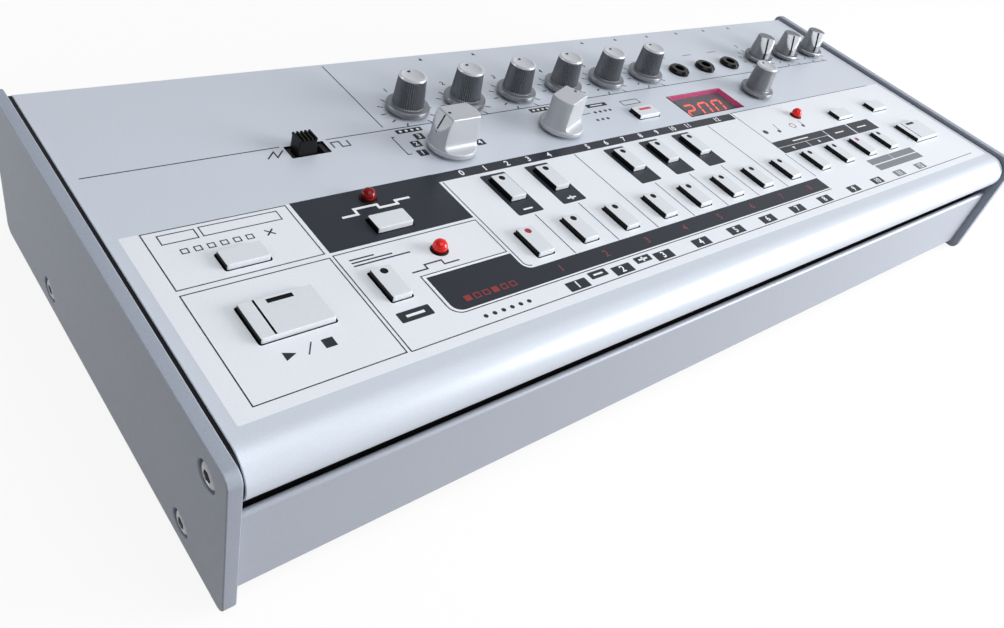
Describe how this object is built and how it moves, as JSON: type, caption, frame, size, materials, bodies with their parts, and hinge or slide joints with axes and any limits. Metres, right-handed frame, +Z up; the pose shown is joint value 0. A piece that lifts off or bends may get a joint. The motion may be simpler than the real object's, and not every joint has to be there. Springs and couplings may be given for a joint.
{
  "type": "bass synthesizer",
  "caption": "Desktop bass-line synthesizer module with keys, knobs, selectors and a red display, tilting between the side plates of a metal dock.",
  "frame": {"origin": "on the table under the middle of the dock", "axes": "+X to the player's right, +Y to the back, +Z up"},
  "size_m": [0.308, 0.1252, 0.0533],
  "materials": {
    "plate_aluminium": "bead blasted",
    "front_aluminium": "bead blasted",
    "dock_paint": "satin",
    "screw_steel": "satin",
    "foot_rubber": "matte",
    "panel_paint": "silver satin",
    "case_plastic": "matte",
    "board_green": "satin",
    "display_red": "gloss",
    "inner_black": "matte",
    "led_red": "gloss",
    "socket_black": "gloss",
    "pot_metal": "satin",
    "battery_wrap": "gloss",
    "key_silver": "satin",
    "knob_silver": "satin",
    "control_black": "matte"
  },
  "bodies": {
    "dock": {"left_side_plate": "plate_aluminium", "right_side_plate": "plate_aluminium", "front_panel": "front_aluminium", "base_tray": "dock_paint", "side_screws": "screw_steel", "rubber_feet": "foot_rubber"},
    "module": {"cradle": "dock_paint", "bottom_case": "case_plastic", "top_panel": "panel_paint", "circuit_board": "board_green", "display_window": "display_red", "display_block": "inner_black", "mode_leds": "led_red", "jack_sockets": "socket_black", "potentiometers": "pot_metal", "key_switches": "inner_black", "battery_door": "case_plastic", "batteries": "battery_wrap", "speaker": "inner_black", "case_screws": "screw_steel"},
    "waveform_slider": {"waveform_slider": "control_black"},
    "volume_knob": {"volume_knob": "control_black"},
    "power_switch": {"power_switch": "control_black"},
    "pattern_clear_button": {"pattern_clear_button": "key_silver"},
    "run_stop_button": {"run_stop_button": "key_silver"},
    "pitch_mode_button": {"pitch_mode_button": "key_silver"},
    "function_button": {"function_button": "key_silver"},
    "time_mode_button": {"time_mode_button": "key_silver"},
    "back_button": {"back_button": "key_silver"},
    "write_button": {"write_button": "key_silver"},
    "tempo_button": {"tempo_button": "key_silver"},
    "white_key_1": {"white_key_1": "key_silver"},
    "white_key_2": {"white_key_2": "key_silver"},
    "white_key_3": {"white_key_3": "key_silver"},
    "white_key_4": {"white_key_4": "key_silver"},
    "white_key_5": {"white_key_5": "key_silver"},
    "white_key_6": {"white_key_6": "key_silver"},
    "white_key_7": {"white_key_7": "key_silver"},
    "white_key_8": {"white_key_8": "key_silver"},
    "black_key_1": {"black_key_1": "key_silver"},
    "black_key_2": {"black_key_2": "key_silver"},
    "black_key_3": {"black_key_3": "key_silver"},
    "black_key_4": {"black_key_4": "key_silver"},
    "black_key_5": {"black_key_5": "key_silver"},
    "step_button_1": {"step_button_1": "key_silver"},
    "step_button_2": {"step_button_2": "key_silver"},
    "step_button_3": {"step_button_3": "key_silver"},
    "step_button_4": {"step_button_4": "key_silver"},
    "tone_knob_1": {"tone_knob_1": "knob_silver"},
    "tone_knob_2": {"tone_knob_2": "knob_silver"},
    "tone_knob_3": {"tone_knob_3": "knob_silver"},
    "tone_knob_4": {"tone_knob_4": "knob_silver"},
    "tone_knob_5": {"tone_knob_5": "knob_silver"},
    "tone_knob_6": {"tone_knob_6": "knob_silver"},
    "effect_knob_1": {"effect_knob_1": "knob_silver"},
    "effect_knob_2": {"effect_knob_2": "knob_silver"},
    "effect_knob_3": {"effect_knob_3": "knob_silver"},
    "track_selector": {"track_selector": "knob_silver"},
    "mode_selector": {"mode_selector": "knob_silver"},
    "value_encoder": {"value_encoder": "knob_silver"}
  },
  "joints": [
    {"name": "module_tilt", "type": "hinge", "parent": "dock", "child": "module", "pos_m": [0, -0.05493, 0.0348], "axis": [1, 0, 0], "range_deg": [0, 22]},
    {"name": "track_selector_turn", "type": "hinge", "parent": "module", "child": "track_selector", "pos_m": [-0.0616, 0.00887, 0.04185], "axis": [0, -0.0148, 0.9999], "range_deg": [-210, 30]},
    {"name": "mode_selector_turn", "type": "hinge", "parent": "module", "child": "mode_selector", "pos_m": [-0.0224, 0.00887, 0.04185], "axis": [0, -0.0148, 0.9999], "range_deg": [-42, 138]},
    {"name": "value_encoder_turn", "type": "hinge", "parent": "module", "child": "value_encoder", "pos_m": [0.0739, 0.00887, 0.04185], "axis": [0, -0.0148, 0.9999], "continuous": true},
    {"name": "waveform_slide", "type": "slide", "parent": "module", "child": "waveform_slider", "axis": [1, 0, 0], "range_m": [0, 0.0023]},
    {"name": "volume_turn", "type": "hinge", "parent": "module", "child": "volume_knob", "pos_m": [0.075, 0.05616, 0.02254], "axis": [0, 0.9999, 0.0148], "range_deg": [-150, 150]},
    {"name": "power_slide", "type": "slide", "parent": "module", "child": "power_switch", "axis": [1, 0, 0], "range_m": [0, 0.003]},
    {"name": "effect_knob_1_turn", "type": "hinge", "parent": "module", "child": "effect_knob_1", "pos_m": [0.0992, 0.02837, 0.04213], "axis": [0, -0.0148, 0.9999], "range_deg": [-300, 0]},
    {"name": "effect_knob_2_turn", "type": "hinge", "parent": "module", "child": "effect_knob_2", "pos_m": [0.1169, 0.02837, 0.04213], "axis": [0, -0.0148, 0.9999], "range_deg": [-300, 0]},
    {"name": "effect_knob_3_turn", "type": "hinge", "parent": "module", "child": "effect_knob_3", "pos_m": [0.1346, 0.02837, 0.04213], "axis": [0, -0.0148, 0.9999], "range_deg": [-300, 0]},
    {"name": "tone_knob_1_turn", "type": "hinge", "parent": "module", "child": "tone_knob_1", "pos_m": [-0.0628, 0.02837, 0.04213], "axis": [0, -0.0148, 0.9999], "range_deg": [-150, 150]},
    {"name": "tone_knob_2_turn", "type": "hinge", "parent": "module", "child": "tone_knob_2", "pos_m": [-0.04355, 0.02837, 0.04213], "axis": [0, -0.0148, 0.9999], "range_deg": [-150, 150]},
    {"name": "tone_knob_3_turn", "type": "hinge", "parent": "module", "child": "tone_knob_3", "pos_m": [-0.0243, 0.02837, 0.04213], "axis": [0, -0.0148, 0.9999], "range_deg": [-150, 150]},
    {"name": "tone_knob_4_turn", "type": "hinge", "parent": "module", "child": "tone_knob_4", "pos_m": [-0.00505, 0.02837, 0.04213], "axis": [0, -0.0148, 0.9999], "range_deg": [-150, 150]},
    {"name": "tone_knob_5_turn", "type": "hinge", "parent": "module", "child": "tone_knob_5", "pos_m": [0.0142, 0.02837, 0.04213], "axis": [0, -0.0148, 0.9999], "range_deg": [-150, 150]},
    {"name": "tone_knob_6_turn", "type": "hinge", "parent": "module", "child": "tone_knob_6", "pos_m": [0.03345, 0.02837, 0.04213], "axis": [0, -0.0148, 0.9999], "range_deg": [-150, 150]},
    {"name": "pattern_clear_button_press", "type": "slide", "parent": "module", "child": "pattern_clear_button", "axis": [0, 0.0148, -0.9999], "range_m": [0, 0.0006], "stiffness_N_per_m": 1200},
    {"name": "run_stop_button_press", "type": "slide", "parent": "module", "child": "run_stop_button", "axis": [0, 0.0148, -0.9999], "range_m": [0, 0.0006], "stiffness_N_per_m": 1200},
    {"name": "pitch_mode_button_press", "type": "slide", "parent": "module", "child": "pitch_mode_button", "axis": [0, 0.0148, -0.9999], "range_m": [0, 0.0006], "stiffness_N_per_m": 1200},
    {"name": "function_button_press", "type": "slide", "parent": "module", "child": "function_button", "axis": [0, 0.0148, -0.9999], "range_m": [0, 0.0006], "stiffness_N_per_m": 1200},
    {"name": "time_mode_button_press", "type": "slide", "parent": "module", "child": "time_mode_button", "axis": [0, 0.0148, -0.9999], "range_m": [0, 0.0006], "stiffness_N_per_m": 1200},
    {"name": "back_button_press", "type": "slide", "parent": "module", "child": "back_button", "axis": [0, 0.0148, -0.9999], "range_m": [0, 0.0006], "stiffness_N_per_m": 1200},
    {"name": "write_button_press", "type": "slide", "parent": "module", "child": "write_button", "axis": [0, 0.0148, -0.9999], "range_m": [0, 0.0006], "stiffness_N_per_m": 1200},
    {"name": "tempo_button_press", "type": "slide", "parent": "module", "child": "tempo_button", "axis": [0, 0.0148, -0.9999], "range_m": [0, 0.0006], "stiffness_N_per_m": 1200},
    {"name": "white_key_1_press", "type": "slide", "parent": "module", "child": "white_key_1", "axis": [0, 0.0148, -0.9999], "range_m": [0, 0.0006], "stiffness_N_per_m": 1200},
    {"name": "white_key_2_press", "type": "slide", "parent": "module", "child": "white_key_2", "axis": [0, 0.0148, -0.9999], "range_m": [0, 0.0006], "stiffness_N_per_m": 1200},
    {"name": "white_key_3_press", "type": "slide", "parent": "module", "child": "white_key_3", "axis": [0, 0.0148, -0.9999], "range_m": [0, 0.0006], "stiffness_N_per_m": 1200},
    {"name": "white_key_4_press", "type": "slide", "parent": "module", "child": "white_key_4", "axis": [0, 0.0148, -0.9999], "range_m": [0, 0.0006], "stiffness_N_per_m": 1200},
    {"name": "white_key_5_press", "type": "slide", "parent": "module", "child": "white_key_5", "axis": [0, 0.0148, -0.9999], "range_m": [0, 0.0006], "stiffness_N_per_m": 1200},
    {"name": "white_key_6_press", "type": "slide", "parent": "module", "child": "white_key_6", "axis": [0, 0.0148, -0.9999], "range_m": [0, 0.0006], "stiffness_N_per_m": 1200},
    {"name": "white_key_7_press", "type": "slide", "parent": "module", "child": "white_key_7", "axis": [0, 0.0148, -0.9999], "range_m": [0, 0.0006], "stiffness_N_per_m": 1200},
    {"name": "white_key_8_press", "type": "slide", "parent": "module", "child": "white_key_8", "axis": [0, 0.0148, -0.9999], "range_m": [0, 0.0006], "stiffness_N_per_m": 1200},
    {"name": "black_key_1_press", "type": "slide", "parent": "module", "child": "black_key_1", "axis": [0, 0.0148, -0.9999], "range_m": [0, 0.0006], "stiffness_N_per_m": 1200},
    {"name": "black_key_2_press", "type": "slide", "parent": "module", "child": "black_key_2", "axis": [0, 0.0148, -0.9999], "range_m": [0, 0.0006], "stiffness_N_per_m": 1200},
    {"name": "black_key_3_press", "type": "slide", "parent": "module", "child": "black_key_3", "axis": [0, 0.0148, -0.9999], "range_m": [0, 0.0006], "stiffness_N_per_m": 1200},
    {"name": "black_key_4_press", "type": "slide", "parent": "module", "child": "black_key_4", "axis": [0, 0.0148, -0.9999], "range_m": [0, 0.0006], "stiffness_N_per_m": 1200},
    {"name": "black_key_5_press", "type": "slide", "parent": "module", "child": "black_key_5", "axis": [0, 0.0148, -0.9999], "range_m": [0, 0.0006], "stiffness_N_per_m": 1200},
    {"name": "step_button_1_press", "type": "slide", "parent": "module", "child": "step_button_1", "axis": [0, 0.0148, -0.9999], "range_m": [0, 0.0006], "stiffness_N_per_m": 1200},
    {"name": "step_button_2_press", "type": "slide", "parent": "module", "child": "step_button_2", "axis": [0, 0.0148, -0.9999], "range_m": [0, 0.0006], "stiffness_N_per_m": 1200},
    {"name": "step_button_3_press", "type": "slide", "parent": "module", "child": "step_button_3", "axis": [0, 0.0148, -0.9999], "range_m": [0, 0.0006], "stiffness_N_per_m": 1200},
    {"name": "step_button_4_press", "type": "slide", "parent": "module", "child": "step_button_4", "axis": [0, 0.0148, -0.9999], "range_m": [0, 0.0006], "stiffness_N_per_m": 1200}
  ]
}
